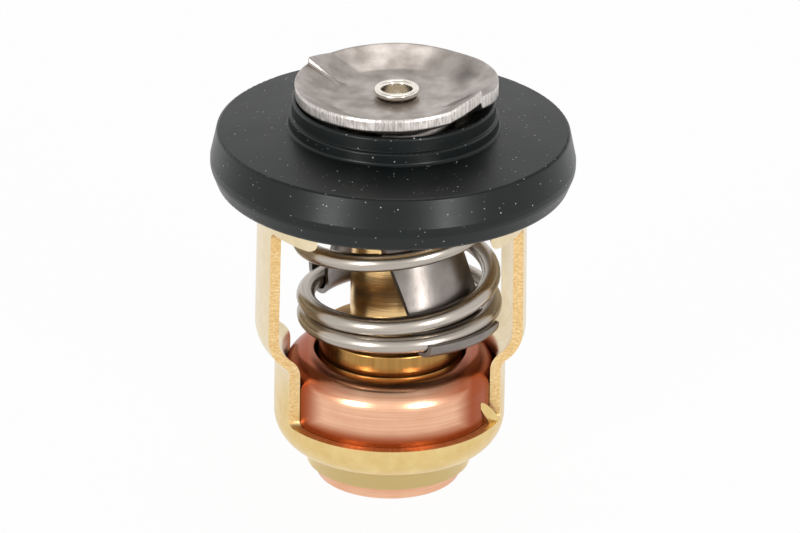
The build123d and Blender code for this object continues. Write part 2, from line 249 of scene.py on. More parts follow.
# The collar is painted paler than the rest: painted light that offsets the shade which the bowl's overhang
# casts on it
span = {"Value": split.outputs[2], "From Min": 3.9 * MM, "From Max": 3.4 * MM}
collar_painted_light = add(tree, "ShaderNodeMapRange", span)
layers = {0: collar_painted_light.outputs[0], 6: upper_skin.outputs[2], 7: linear("#ffe09a")}
skin = add(tree, "ShaderNodeMix", layers, data_type="RGBA")
drawn = add(tree, "ShaderNodeMapping", {"Vector": place.outputs["Object"], "Scale": (1.0, 1.0, 0.08)})
pattern = {"Vector": drawn.outputs[0], "Scale": 1 / (0.4 * MM), "Detail": 3.0}
marks = add(tree, "ShaderNodeTexNoise", pattern)

# %% Brass sheet: the torn edge
# Tear lines 0.1 mm apart on the real edge, drawn at 0.2 mm so that the picture can show them
turned_out = {0: outward.outputs[0], "Scale": 14.0 * MM}
rolled = add(tree, "ShaderNodeVectorMath", turned_out, operation="SCALE")
upright = add(tree, "ShaderNodeCombineXYZ", {2: split.outputs[2]})
unrolled = add(tree, "ShaderNodeVectorMath", {0: rolled.outputs[0], 1: upright.outputs[0]})
tears = {"Vector": unrolled.outputs[0], "Scale": 1 / (0.2 * MM), "Detail": 2.0}
tears = add(tree, "ShaderNodeTexNoise", tears)
grit = {"Vector": place.outputs["Object"], "Scale": 1 / (0.16 * MM), "Detail": 2.0}
grit = add(tree, "ShaderNodeTexNoise", grit)
torn = add(tree, "ShaderNodeMix", {0: 0.45, 2: tears.outputs[0], 3: grit.outputs[0]})
spread = add(tree, "ShaderNodeMapRange", {"Value": torn.outputs[0], "From Min": 0.35, "From Max": 0.65})
tones = {0: spread.outputs[0], 6: linear("#cba263"), 7: linear("#e9ce9c")}
edge = add(tree, "ShaderNodeMix", tones, data_type="RGBA")

# %% Brass sheet: skin and edge together
layers = {0: cut.outputs[0], 6: skin.outputs[2], 7: edge.outputs[2]}
colour = add(tree, "ShaderNodeMix", layers, data_type="RGBA")
tree.links.new(colour.outputs[2], shader.inputs["Base Color"])
rough = add(tree, "ShaderNodeMapRange", {"Value": cut.outputs[0], "To Min": 0.27, "To Max": 0.42})
tree.links.new(rough.outputs[0], shader.inputs["Roughness"])
skin_relief = add(tree, "ShaderNodeMix", {0: 0.4, 2: mottle.outputs[0], 3: marks.outputs[0]})
relief = add(tree, "ShaderNodeMix", {0: cut.outputs[0], 2: skin_relief.outputs[0], 3: torn.outputs[0]})
depth = add(tree, "ShaderNodeMapRange", {"Value": cut.outputs[0], "To Min": 0.25, "To Max": 0.8})
bumps = {"Strength": depth.outputs[0], "Distance": 0.06 * MM, "Height": relief.outputs[0]}
bump = add(tree, "ShaderNodeBump", bumps)
tree.links.new(bump.outputs[0], shader.inputs["Normal"])

# %% [markdown]
# ## Turned brass
# The guide is turned from bar in a lathe. The tool leaves rings that are finer than a hair. Rings spread
# a reflection along the axis, so the shader is anisotropic, and a few deeper rings are drawn with bump.

# %% Turned brass
guide_colour = linear("#bd8c45")
turned_brass, tree, shader = finish("turned_brass", Metallic=1.0, Roughness=0.25, Base_Color=guide_colour)
shader.inputs["Anisotropic"].default_value = 0.5
place = add(tree, "ShaderNodeTexCoord")
squeezed = add(tree, "ShaderNodeMapping", {"Vector": place.outputs["Object"], "Scale": (0.02, 0.02, 1.0)})
# Tool rings 0.1 mm apart on the real guide, drawn at 0.25 mm so that the picture can show them
pattern = {"Vector": squeezed.outputs[0], "Scale": 1 / (0.25 * MM), "Detail": 2.0}
rings = add(tree, "ShaderNodeTexNoise", pattern)
fluted = add(tree, "ShaderNodeMapping", {"Vector": place.outputs["Object"], "Scale": (1.0, 1.0, 0.05)})
pattern = {"Vector": fluted.outputs[0], "Scale": 1 / (0.7 * MM), "Detail": 3.0}
streak = add(tree, "ShaderNodeTexNoise", pattern)
tones = {0: streak.outputs[0], 6: linear("#c29758"), 7: linear("#8a6433")}
hub_tone = add(tree, "ShaderNodeMix", tones, data_type="RGBA")
# The stem, in shade under the rubber, is painted paler than the hub: painted light
tones = {0: rings.outputs[0], 6: linear("#ffe0a6"), 7: linear("#cf9f60")}
stem_painted_light_tone = add(tree, "ShaderNodeMix", tones, data_type="RGBA")
split = add(tree, "ShaderNodeSeparateXYZ", {0: place.outputs["Object"]})
span = {"Value": split.outputs[2], "From Min": 16.4 * MM, "From Max": 17.4 * MM}
on_stem = add(tree, "ShaderNodeMapRange", span)
layers = {0: on_stem.outputs[0], 6: hub_tone.outputs[2], 7: stem_painted_light_tone.outputs[2]}
tone = add(tree, "ShaderNodeMix", layers, data_type="RGBA")
tree.links.new(tone.outputs[2], shader.inputs["Base Color"])
relief = add(tree, "ShaderNodeMix", {0: 0.2, 2: rings.outputs[0], 3: streak.outputs[0]})
bump = add(tree, "ShaderNodeBump", {"Strength": 0.45, "Distance": 0.03 * MM, "Height": relief.outputs[0]})
tree.links.new(bump.outputs[0], shader.inputs["Normal"])

# %% [markdown]
# ## Copper, turned and burnished
# The cup is spun over the guide's flange, and its side is skimmed in a lathe, so it has fine rings. The
# bare copper is salmon pink where it is bright. Low in the bowl, behind the legs and round its mouth it is
# painted deep orange red: partly tarnish, and partly a painted reflection of the copper and the brass bowl
# in each other, so the colour follows the height and the distance from the legs.

# %% Copper
copper_colour = linear("#e2a17c")
copper, tree, shader = finish("turned_copper", Metallic=1.0, Roughness=0.24, Base_Color=copper_colour)
shader.inputs["Anisotropic"].default_value = 0.6
place = add(tree, "ShaderNodeTexCoord")
split = add(tree, "ShaderNodeSeparateXYZ", {0: place.outputs["Object"]})
squeezed = add(tree, "ShaderNodeMapping", {"Vector": place.outputs["Object"], "Scale": (0.015, 0.015, 1.0)})
# Lathe rings, 0.08 mm apart on the real cup, drawn at 0.2 mm
pattern = {"Vector": squeezed.outputs[0], "Scale": 1 / (0.2 * MM), "Detail": 3.0}
rings = add(tree, "ShaderNodeTexNoise", pattern)
pattern = {"Vector": place.outputs["Object"], "Scale": 1 / (2.0 * MM), "Detail": 4.0}
cloud = add(tree, "ShaderNodeTexNoise", pattern)
bright = add(tree, "ShaderNodeMix", {0: 0.3, 2: rings.outputs[0], 3: cloud.outputs[0]})
tones = {0: bright.outputs[0], 6: linear("#ffd6b6"), 7: linear("#d18a62")}
clean = add(tree, "ShaderNodeMix", tones, data_type="RGBA")

# %% Copper: where it is painted red, partly tarnish and partly painted reflection
low = {"Value": split.outputs[2], "From Min": 9.8 * MM, "From Max": 8.2 * MM}
low = add(tree, "ShaderNodeMapRange", low, interpolation_type="SMOOTHSTEP")
nose = {"Value": split.outputs[2], "From Min": 4.0 * MM, "From Max": 5.0 * MM}
nose = add(tree, "ShaderNodeMapRange", nose)
low = add(tree, "ShaderNodeMath", {0: low.outputs[0], 1: nose.outputs[0]}, operation="MULTIPLY")
aside = add(tree, "ShaderNodeMath", {0: split.outputs[0]}, operation="ABSOLUTE")
near_leg = {"Value": aside.outputs[0], "From Min": 6.6 * MM, "From Max": 8.8 * MM}
near_leg = add(tree, "ShaderNodeMapRange", near_leg, interpolation_type="SMOOTHSTEP")
tarnish_and_painted_reflection = add(tree, "ShaderNodeMath", {0: low.outputs[0], 1: near_leg.outputs[0]}, operation="MAXIMUM")
shoulder = {"Value": split.outputs[2], "From Min": 11.9 * MM, "From Max": 12.8 * MM, "To Max": 0.9}
shoulder = add(tree, "ShaderNodeMapRange", shoulder)
sideways = {"Value": aside.outputs[0], "From Min": 3.0 * MM, "From Max": 7.5 * MM}
sideways = add(tree, "ShaderNodeMapRange", sideways)
pair = {0: shoulder.outputs[0], 1: sideways.outputs[0]}
shoulder = add(tree, "ShaderNodeMath", pair, operation="MULTIPLY")
pair = {0: tarnish_and_painted_reflection.outputs[0], 1: shoulder.outputs[0]}
tarnish_and_painted_reflection = add(tree, "ShaderNodeMath", pair, operation="MAXIMUM")
faded = add(tree, "ShaderNodeMath", {0: tarnish_and_painted_reflection.outputs[0], 1: 0.92}, operation="MULTIPLY")
layers = {0: faded.outputs[0], 6: clean.outputs[2], 7: linear("#9c3f12")}
colour = add(tree, "ShaderNodeMix", layers, data_type="RGBA")
tree.links.new(colour.outputs[2], shader.inputs["Base Color"])
bump = add(tree, "ShaderNodeBump", {"Strength": 0.6, "Distance": 0.03 * MM, "Height": rings.outputs[0]})
tree.links.new(bump.outputs[0], shader.inputs["Normal"])

# %% [markdown]
# ## Black rubber, moulded
# Nitrile rubber comes out of a steel mould with a satin skin that copies the mould's texture. It holds
# dust: pale specks of a tenth of a millimetre sit all over it, most of them hardly seen.

# %% Rubber
rubber, tree, shader = finish("moulded_rubber", Roughness=0.34, Base_Color=linear("#0c1010"), IOR=1.52)
shader.inputs["Specular IOR Level"].default_value = 0.26
place = add(tree, "ShaderNodeTexCoord")
pattern = {"Vector": place.outputs["Object"], "Scale": 1 / (4.0 * MM), "Detail": 5.0}
patchy = add(tree, "ShaderNodeTexNoise", pattern)
tones = {0: patchy.outputs[0], 6: linear("#0a0e0e"), 7: linear("#121717")}
skin = add(tree, "ShaderNodeMix", tones, data_type="RGBA")
rough = add(tree, "ShaderNodeMapRange", {"Value": patchy.outputs[0], "To Min": 0.28, "To Max": 0.42})
tree.links.new(rough.outputs[0], shader.inputs["Roughness"])

# %% Rubber: dust
# Each cell of a 0.5 mm pattern holds one speck, of a size that its own random number gives
cells = add(tree, "ShaderNodeTexVoronoi", {"Vector": place.outputs["Object"], "Scale": 1 / (0.5 * MM)})
pick = add(tree, "ShaderNodeTexWhiteNoise", {"Vector": cells.outputs["Position"]})
wide = {"Value": pick.outputs["Value"], "From Min": 0.35, "From Max": 1.0, "To Max": 0.16}
wide = add(tree, "ShaderNodeMapRange", wide)
speck = {0: cells.outputs["Distance"], 1: wide.outputs[0]}
speck = add(tree, "ShaderNodeMath", speck, operation="LESS_THAN")
pale = add(tree, "ShaderNodeSeparateColor", {0: pick.outputs["Color"]})
strong = add(tree, "ShaderNodeMapRange", {"Value": pale.outputs[1], "To Min": 0.2, "To Max": 1.0})
dusty = add(tree, "ShaderNodeMath", {0: speck.outputs[0], 1: strong.outputs[0]}, operation="MULTIPLY")
layers = {0: dusty.outputs[0], 6: skin.outputs[2], 7: linear("#c3c4c2")}
colour = add(tree, "ShaderNodeMix", layers, data_type="RGBA")
tree.links.new(colour.outputs[2], shader.inputs["Base Color"])

# %% Rubber: mould texture
# Scratches of the mould run round it, 0.15 mm apart
ring_wise = add(tree, "ShaderNodeMapping", {"Vector": place.outputs["Object"], "Scale": (0.15, 0.15, 1.0)})
pattern = {"Vector": ring_wise.outputs[0], "Scale": 1 / (0.15 * MM), "Detail": 3.0}
pores = add(tree, "ShaderNodeTexNoise", pattern)
bump = add(tree, "ShaderNodeBump", {"Strength": 0.3, "Distance": 0.02 * MM, "Height": pores.outputs[0]})
tree.links.new(bump.outputs[0], shader.inputs["Normal"])

# %% [markdown]
# ## Stainless sheet
# The disc and the stirrup are stamped from stainless sheet. Its rolled skin is a warm, cloudy grey with
# small pits. The disc's cut edge is brighter, and torn upright in fine lines. The edge's place comes
# from two attributes that the disc stores: how far a point is on the edge, and where it is round it.

# %% Stainless sheet
sheet_colour = linear("#a8a19b")
stainless, tree, shader = finish("rolled_stainless_sheet", Metallic=1.0, Base_Color=sheet_colour)
place = add(tree, "ShaderNodeTexCoord")
rim = add(tree, "ShaderNodeAttribute", attribute_name="on_edge")
round_it = add(tree, "ShaderNodeAttribute", attribute_name="edge_lay")
pattern = {"Vector": place.outputs["Object"], "Scale": 1 / (2.2 * MM), "Detail": 6.0}
cloud = add(tree, "ShaderNodeTexNoise", pattern)
cloudy = {"Value": cloud.outputs[0], "From Min": 0.34, "From Max": 0.66}
cloudy = add(tree, "ShaderNodeMapRange", cloudy)
tones = {0: cloudy.outputs[0], 6: linear("#bcb4ae"), 7: linear("#978f89")}
disc_tone = add(tree, "ShaderNodeMix", tones, data_type="RGBA")
# Below the disc and the rubber, the stirrup is painted darker: painted shade and a painted reflection of
# the dark rubber above it
split = add(tree, "ShaderNodeSeparateXYZ", {0: place.outputs["Object"]})
span = {"Value": split.outputs[2], "From Min": 40.5 * MM, "From Max": 38.5 * MM, "To Max": 0.6}
low = add(tree, "ShaderNodeMapRange", span)
layers = {0: low.outputs[0], 6: disc_tone.outputs[2], 7: linear("#5f5a56")}
tone = add(tree, "ShaderNodeMix", layers, data_type="RGBA")
# Pits of 0.1 to 0.2 mm, one in about 1.6 mm
cells = add(tree, "ShaderNodeTexVoronoi", {"Vector": place.outputs["Object"], "Scale": 1 / (1.6 * MM)})
pick = add(tree, "ShaderNodeTexWhiteNoise", {"Vector": cells.outputs["Position"]})
wide = {"Value": pick.outputs["Value"], "From Min": 0.6, "From Max": 1.0, "To Max": 0.09}
wide = add(tree, "ShaderNodeMapRange", wide)
pit = add(tree, "ShaderNodeMath", {0: cells.outputs["Distance"], 1: wide.outputs[0]}, operation="LESS_THAN")
pit = add(tree, "ShaderNodeMath", {0: pit.outputs[0], 1: 0.75}, operation="MULTIPLY")
layers = {0: pit.outputs[0], 6: tone.outputs[2], 7: linear("#4d4843")}
pitted = add(tree, "ShaderNodeMix", layers, data_type="RGBA")

# %% Stainless sheet: painted shade in the hollow behind the front rib
# A brown patch, 5 mm long, is painted there as the hollow's shade, and a grey stain lies on the cone at the
# far right
off_hollow_shade = {0: place.outputs["Object"], 1: (6.7 * MM, -2.1 * MM, 43.0 * MM)}
off_hollow_shade = add(tree, "ShaderNodeVectorMath", off_hollow_shade, operation="SUBTRACT")
turned = {"Vector": off_hollow_shade.outputs[0], "Rotation": (0, 0, radians(48.0)), "Scale": (2.6, 0.8, 1.8)}
turned = add(tree, "ShaderNodeMapping", turned, vector_type="TEXTURE")
apart = add(tree, "ShaderNodeVectorMath", {0: turned.outputs[0]}, operation="LENGTH")
hollow_shade = {"Value": apart.outputs["Value"], "From Min": 0.95 * MM, "From Max": 0.6 * MM, "To Max": 0.8}
hollow_shade = add(tree, "ShaderNodeMapRange", hollow_shade)
layers = {0: hollow_shade.outputs[0], 6: pitted.outputs[2], 7: linear("#4f463a")}
shade_and_stain = add(tree, "ShaderNodeMix", layers, data_type="RGBA")
off_patch = {0: place.outputs["Object"], 1: (7.2 * MM, 4.0 * MM, 43.6 * MM)}
off_patch = add(tree, "ShaderNodeVectorMath", off_patch, operation="SUBTRACT")
apart = add(tree, "ShaderNodeVectorMath", {0: off_patch.outputs[0]}, operation="LENGTH")
patch = {"Value": apart.outputs["Value"], "From Min": 2.2 * MM, "From Max": 0.4 * MM, "To Max": 0.6}
patch = add(tree, "ShaderNodeMapRange", patch)
layers = {0: patch.outputs[0], 6: shade_and_stain.outputs[2], 7: linear("#56524d")}
shade_and_stain = add(tree, "ShaderNodeMix", layers, data_type="RGBA")

# %% Stainless sheet: the sheared edge
shear = add(tree, "ShaderNodeTexNoise", {"Vector": round_it.outputs["Vector"], "Scale": 1.0, "Detail": 3.0})
spread = add(tree, "ShaderNodeMapRange", {"Value": shear.outputs[0], "From Min": 0.36, "From Max": 0.64})
tones = {0: spread.outputs[0], 6: linear("#b3aca6"), 7: linear("#e4ded9")}
torn = add(tree, "ShaderNodeMix", tones, data_type="RGBA")
layers = {0: rim.outputs["Fac"], 6: shade_and_stain.outputs[2], 7: torn.outputs[2]}
colour = add(tree, "ShaderNodeMix", layers, data_type="RGBA")
tree.links.new(colour.outputs[2], shader.inputs["Base Color"])
rough = add(tree, "ShaderNodeMapRange", {"Value": cloud.outputs[0], "To Min": 0.24, "To Max": 0.42})
tree.links.new(rough.outputs[0], shader.inputs["Roughness"])
pattern = {"Vector": place.outputs["Object"], "Scale": 1 / (0.25 * MM), "Detail": 4.0}
fine = add(tree, "ShaderNodeTexNoise", pattern)
relief = add(tree, "ShaderNodeMix", {0: rim.outputs["Fac"], 2: fine.outputs[0], 3: shear.outputs[0]})
depth = add(tree, "ShaderNodeMapRange", {"Value": rim.outputs["Fac"], "To Min": 0.25, "To Max": 0.3})
bumps = {"Strength": depth.outputs[0], "Distance": 0.04 * MM, "Height": relief.outputs[0]}
bump = add(tree, "ShaderNodeBump", bumps)
tree.links.new(bump.outputs[0], shader.inputs["Normal"])

# %% [markdown]
# ## Stainless wire, nickel, plastic and wax
# The spring is drawn wire, whose streaks run along it. The rivet is bright nickel with a warm cast. The
# piston, the slippery disc under it and the wax are hidden, but they show when the part is taken apart.

# %% Stainless wire
wire_colour = linear("#b3aaa0")
plain = {"Metallic": 1.0, "Roughness": 0.27, "Base_Color": wire_colour}
drawn_wire, tree, shader = finish("drawn_stainless_wire", **plain)
lay = add(tree, "ShaderNodeAttribute", attribute_name="wire_lay")
streaks = add(tree, "ShaderNodeTexNoise", {"Vector": lay.outputs["Vector"], "Scale": 4.0, "Detail": 3.0})
tones = {0: streaks.outputs[0], 6: linear("#d2cac0"), 7: linear("#8f857a")}
tone = add(tree, "ShaderNodeMix", tones, data_type="RGBA")
tree.links.new(tone.outputs[2], shader.inputs["Base Color"])
bump = add(tree, "ShaderNodeBump", {"Strength": 0.3, "Distance": 0.02 * MM, "Height": streaks.outputs[0]})
tree.links.new(bump.outputs[0], shader.inputs["Normal"])

# %% Nickel and ground steel
nickel, tree, shader = finish("bright_nickel", Metallic=1.0, Roughness=0.22, Base_Color=linear("#e9e4dc"))
place = add(tree, "ShaderNodeTexCoord")
pattern = {"Vector": place.outputs["Object"], "Scale": 1 / (0.6 * MM), "Detail": 3.0}
cloud = add(tree, "ShaderNodeTexNoise", pattern)
tones = {0: cloud.outputs[0], 6: linear("#fbf8f3"), 7: linear("#e6ddcd")}
tone = add(tree, "ShaderNodeMix", tones, data_type="RGBA")
tree.links.new(tone.outputs[2], shader.inputs["Base Color"])

plain = {"Metallic": 1.0, "Roughness": 0.2, "Base_Color": linear("#b9b5b0")}
ground_steel, tree, shader = finish("ground_steel_pin", **plain)
place = add(tree, "ShaderNodeTexCoord")
pattern = {"Vector": place.outputs["Object"], "Scale": 1 / (0.2 * MM), "Detail": 2.0}
fine = add(tree, "ShaderNodeTexNoise", pattern)
bump = add(tree, "ShaderNodeBump", {"Strength": 0.1, "Distance": 0.01 * MM, "Height": fine.outputs[0]})
tree.links.new(bump.outputs[0], shader.inputs["Normal"])

# %% Plastic and wax
plastic_colour = linear("#eeeeea")
plain = {"Roughness": 0.45, "Base_Color": plastic_colour, "IOR": 1.38}
white_plastic, tree, shader = finish("slippery_white_plastic", **plain)
place = add(tree, "ShaderNodeTexCoord")
pattern = {"Vector": place.outputs["Object"], "Scale": 1 / (1.0 * MM), "Detail": 2.0}
cloud = add(tree, "ShaderNodeTexNoise", pattern)
tones = {0: cloud.outputs[0], 6: linear("#f2f2ee"), 7: linear("#e2e2dc")}
tone = add(tree, "ShaderNodeMix", tones, data_type="RGBA")
tree.links.new(tone.outputs[2], shader.inputs["Base Color"])

brown_wax, tree, shader = finish("copper_filled_wax", Roughness=0.5, Base_Color=linear("#b98a5e"), IOR=1.43)
place = add(tree, "ShaderNodeTexCoord")
pattern = {"Vector": place.outputs["Object"], "Scale": 1 / (0.5 * MM), "Detail": 3.0}
cloud = add(tree, "ShaderNodeTexNoise", pattern)
tones = {0: cloud.outputs[0], 6: linear("#c9986a"), 7: linear("#9c6d44")}
tone = add(tree, "ShaderNodeMix", tones, data_type="RGBA")
tree.links.new(tone.outputs[2], shader.inputs["Base Color"])
print("finishes:", [made.name for made in bpy.data.materials])

# %% [markdown]
# ## Put the finishes on the solids
# Each solid keeps its shape, so only its material slot is filled.

# %% Dress the solids
FINISH_OF = {
    "frame": dipped_brass,
    "flange_plate": dipped_brass,
    "seal_ring": rubber,
    "wax_cup": copper,
    "wax_charge": brown_wax,
    "diaphragm": rubber,
    "guide_body": turned_brass,
    "rubber_plug": rubber,
    "return_spring": drawn_wire,
    "valve_disc": stainless,
    "centre_rivet": nickel,
    "stirrup": stainless,
    "piston_pin": ground_steel,
    "anti_extrusion_disc": white_plastic,
}
for name, coat in FINISH_OF.items():
    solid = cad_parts[name].data
    solid.materials.clear()
    solid.materials.append(coat)
print("dressed:", len(FINISH_OF))

# %% [markdown]
# ## The valve's own frame
# Piston, rivet, disc and stirrup hang a little askew. Everything on the valve is drawn upright first,
# then leaned about the piston's tip and moved aside by this one matrix, as the solids are.

# %% Lean of the valve
VALVE_LEAN = radians(1.6)
HIGH_SIDE = radians(-20.0)
PIVOT = 39.95
VALVE_SHIFT = 0.35

up = Vector((-sin(VALVE_LEAN) * cos(HIGH_SIDE), -sin(VALVE_LEAN) * sin(HIGH_SIDE), cos(VALVE_LEAN)))
across = Vector((cos(VALVE_LEAN), 0, sin(VALVE_LEAN) * cos(HIGH_SIDE))).normalized()
turn = Matrix((across, up.cross(across), up)).transposed().to_4x4()
leaned = Matrix.Translation(Vector((VALVE_SHIFT, 0, PIVOT)) - up * PIVOT) @ turn


def keep_mesh(name, mesh, coat, slot, body, *stands_for):
    """Link a finished mesh as a piece that rides on a body and stands for the solids named."""
    piece = bpy.data.objects.new(name, mesh)
    bpy.context.scene.collection.objects.link(piece)
    mesh.materials.clear()
    mesh.materials.append(coat)
    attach(piece, body)
    if stands_for:
        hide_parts(*stands_for)
    triangles = sum(len(face.vertices) - 2 for face in mesh.polygons)
    print(name, "has", triangles, "triangles")
    return piece


# %% [markdown]
# ## Drawn cage and spun cup
# Beside the photograph, the solids have the cage's waist 1.25 mm too low, the cup's mouth about a
# millimetre too low, and the heads of the legs a little too high. Each solid is copied, its loose
# triangles are joined, and the points of the copy are moved by one rule. The solids stay as they are.

# %% Cage and cup
WAIST_UP = 1.25
LEFT_HEAD_DOWN = 0.6
RIGHT_HEAD_DOWN = 1.0
MOUTH_UP = 0.95
CUP_WIDER = 1.0147
CUP_NOSE_TOP = 4.6
CUP_NOSE_R = 8.1
# Heights at which a move starts, is full, is still full, and has ended
WAIST_BAND = (8.5, 12.1, 16.4, 22.0)
HEAD_BAND = (24.0, 29.5, 31.6, 34.8)
MOUTH_BAND = (7.5, 10.2, 20.0, 21.0)


def redrawn(source, moved):
    """Copy a solid's mesh, join its points, move each one by a rule, and smooth all but the edges."""
    made = bmesh.new()
    made.from_mesh(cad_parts[source].data)
    bmesh.ops.remove_doubles(made, verts=made.verts, dist=0.0005 * MM)
    for point in made.verts:
        point.co = Vector(moved(*(point.co / MM))) * MM
    mesh = bpy.data.meshes.new("redrawn_" + source)
    made.to_mesh(mesh)
    made.free()
    mesh.shade_smooth()
    mesh.set_sharp_from_angle(angle=radians(30.0))
    return mesh


def between(height, foot, low, high, top):
    """1 from low to high, and an even slope down to 0 at foot and at top, so that nothing folds over."""
    return max(min((height - foot) / (low - foot), (top - height) / (top - high), 1), 0)


def cage_rule(x, y, z):
    """The waist goes up and the heads of the legs come down."""
    waist = WAIST_UP * between(z, *WAIST_BAND)
    heads = (LEFT_HEAD_DOWN if x < 0 else RIGHT_HEAD_DOWN) * between(z, *HEAD_BAND)
    return x, y, z + waist - heads


def cup_rule(x, y, z):
    """The mouth goes up, and the side stands close to the bowl."""
    on_side = z > CUP_NOSE_TOP and sqrt(x * x + y * y) > CUP_NOSE_R
    wider = CUP_WIDER if on_side else 1.0
    return x * wider, y * wider, z + MOUTH_UP * between(z, *MOUTH_BAND)


keep_mesh("drawn_cage", redrawn("frame", cage_rule), dipped_brass, "brass_sheet", HOUSING, "frame")
keep_mesh("spun_cup", redrawn("wax_cup", cup_rule), copper, "copper", HOUSING, "wax_cup")

# %% [markdown]
# ## Return spring
# A coil spring is one wire along a path that follows a rule: closed turns at both ends and an open
# stretch between. The path is a line of points, and Geometry Nodes sweep a circle along it. The tree also
# stores where each point lies on the wire, so that the drawing streaks can run along it.

# %% Spring path
WIRE = 1.95
COIL_R = 9.78
TURNS = 3.6
FIRST_TURN = -0.29
CLOSED_PITCH = 2.0
OPEN_FROM = 0.88
OPEN_TO = 2.23
OPEN_EASE = 0.25
PLATE_Z = 33.85
HOOK_Z = 18.95
SPRING_TOP = PLATE_Z - WIRE / 2 - 0.02
SPRING_LOW = HOOK_Z - CLOSED_PITCH * (-53 / 360 + 0.25 - FIRST_TURN - 0.08)
OPEN_PITCH = (SPRING_TOP - SPRING_LOW - CLOSED_PITCH * TURNS) / (OPEN_TO - OPEN_FROM)
CLOSED_TOP = SPRING_LOW + CLOSED_PITCH * (OPEN_FROM - FIRST_TURN)
STEPS_PER_TURN = 60


def eased(turns):
    """Climb that starts from level and is at its full rate after one easing length."""
    part_way = min(max(turns / OPEN_EASE, 0), 1)
    return OPEN_EASE * (part_way**3 - part_way**4 / 2) + max(turns - OPEN_EASE, 0)


def wire_point(turns):
    """Middle of the wire, in metres: square to the valve below, square to the flange plate above."""
    angle = 2 * pi * turns - pi / 2
    climb = eased(turns - OPEN_FROM) - eased(turns - OPEN_TO)
    height = SPRING_LOW + CLOSED_PITCH * (turns - FIRST_TURN) + OPEN_PITCH * climb
    level = Vector((COIL_R * cos(angle), COIL_R * sin(angle), height))
    share = max(height - CLOSED_TOP, 0) / (SPRING_TOP - CLOSED_TOP)
    return (leaned @ level).lerp(level, share) * MM


steps = round(TURNS * STEPS_PER_TURN)
wire_path = [wire_point(FIRST_TURN + TURNS * i / steps) for i in range(steps + 1)]
path_mesh = bpy.data.meshes.new("spring_path")
path_mesh.from_pydata(wire_path, [(i, i + 1) for i in range(steps)], [])
spring_source = bpy.data.objects.new("spring_path", path_mesh)
bpy.context.scene.collection.objects.link(spring_source)
print("spring path points:", len(wire_path))

# %% Geometry Nodes helpers


def new_tree(name, *sockets):
    """Start a Geometry Nodes tree with named inputs: geometry first, then what is given."""
    made = bpy.data.node_groups.new(name, "GeometryNodeTree")
    made.interface.new_socket("Geometry", in_out="INPUT", socket_type="NodeSocketGeometry")
    for socket, kind in sockets:
        made.interface.new_socket(socket, in_out="INPUT", socket_type=kind)
    made.interface.new_socket("Geometry", in_out="OUTPUT", socket_type="NodeSocketGeometry")
    return made, made.nodes.new("NodeGroupInput")


def grown(source, made, **values):
    """Run a tree on an object and return its result as a plain mesh."""
    modifier = source.modifiers.new("grow", "NODES")
    modifier.node_group = made
    for item in made.interface.items_tree:
        if item.in_out == "INPUT" and item.name.replace(" ", "_") in values:
            modifier[item.identifier] = values[item.name.replace(" ", "_")]
    graph = bpy.context.evaluated_depsgraph_get()
    mesh = bpy.data.meshes.new_from_object(source.evaluated_get(graph), depsgraph=graph)
    source.modifiers.remove(modifier)
    bpy.data.objects.remove(source)
    return mesh


# %% Spring tree: sweep the wire
inputs = (("Wire radius", "NodeSocketFloat"), ("Finish", "NodeSocketMaterial"))
tree, given = new_tree("wound_wire", *inputs)
line = add(tree, "GeometryNodeMeshToCurve", {"Mesh": given.outputs["Geometry"]})
along = add(tree, "GeometryNodeSplineParameter")
marked = add(tree, "GeometryNodeCaptureAttribute", {"Geometry": line.outputs[0]})
marked.capture_items.new("FLOAT", "along")
tree.links.new(along.outputs["Length"], marked.inputs[1])
circle = {"Resolution": 24, "Radius": given.outputs["Wire radius"]}
ring = add(tree, "GeometryNodeCurvePrimitiveCircle", circle)
where = add(tree, "GeometryNodeInputPosition")
rounded = add(tree, "GeometryNodeCaptureAttribute", {"Geometry": ring.outputs[0]})
rounded.capture_items.new("VECTOR", "round")
tree.links.new(where.outputs[0], rounded.inputs[1])
sweep = {"Curve": marked.outputs[0], "Profile Curve": rounded.outputs[0], "Fill Caps": True}
swept = add(tree, "GeometryNodeCurveToMesh", sweep)

# %% Spring tree: store the lay of the streaks
# The streaks are about 0.25 mm wide and forty times as long
spread = add(tree, "ShaderNodeVectorMath", {0: rounded.outputs[1], "Scale": 1 / MM}, operation="SCALE")
slow = add(tree, "ShaderNodeMath", {0: marked.outputs[1], 1: 25.0}, operation="MULTIPLY")
wide_part = add(tree, "ShaderNodeSeparateXYZ", {0: spread.outputs[0]})
lay_of = {0: wide_part.outputs[0], 1: wide_part.outputs[1], 2: slow.outputs[0]}
laid = add(tree, "ShaderNodeCombineXYZ", lay_of)
stored = {"Geometry": swept.outputs[0], "Name": "wire_lay", "Value": laid.outputs[0]}
stored = add(tree, "GeometryNodeStoreNamedAttribute", stored, data_type="FLOAT_VECTOR", domain="POINT")
real = add(tree, "GeometryNodeRealizeInstances", {0: stored.outputs[0]})
coated = {"Geometry": real.outputs[0], "Material": given.outputs["Finish"]}
coated = add(tree, "GeometryNodeSetMaterial", coated)
add(tree, "NodeGroupOutput", {0: coated.outputs[0]})

# %% Spring
spring_mesh = grown(spring_source, tree, Wire_radius=WIRE / 2 * MM, Finish=drawn_wire)
for face in spring_mesh.polygons:
    face.use_smooth = len(face.vertices) == 4
spring = keep_mesh("coil_spring", spring_mesh, drawn_wire, "stainless_wire", HOUSING, "return_spring")
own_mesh(spring)

# %% [markdown]
# ## Valve disc
# The disc is blanked and dished in one stroke. Its floor is flat, its rim is a cone, and the cut edge
# shows upright shear marks. Two ribs are pressed into the rim, and each rises slowly on one side and
# drops in a step on the other. A grid of points round the axis takes the section and the ribs as rules.

# %% Disc section
FLOOR_Z = 42.75
SHEET = 1.3
FLOOR_R = 6.9
RIM_R = 10.55
RIM_ANGLE = radians(25.0)
BEND = 1.8
HOLE_R = 1.92


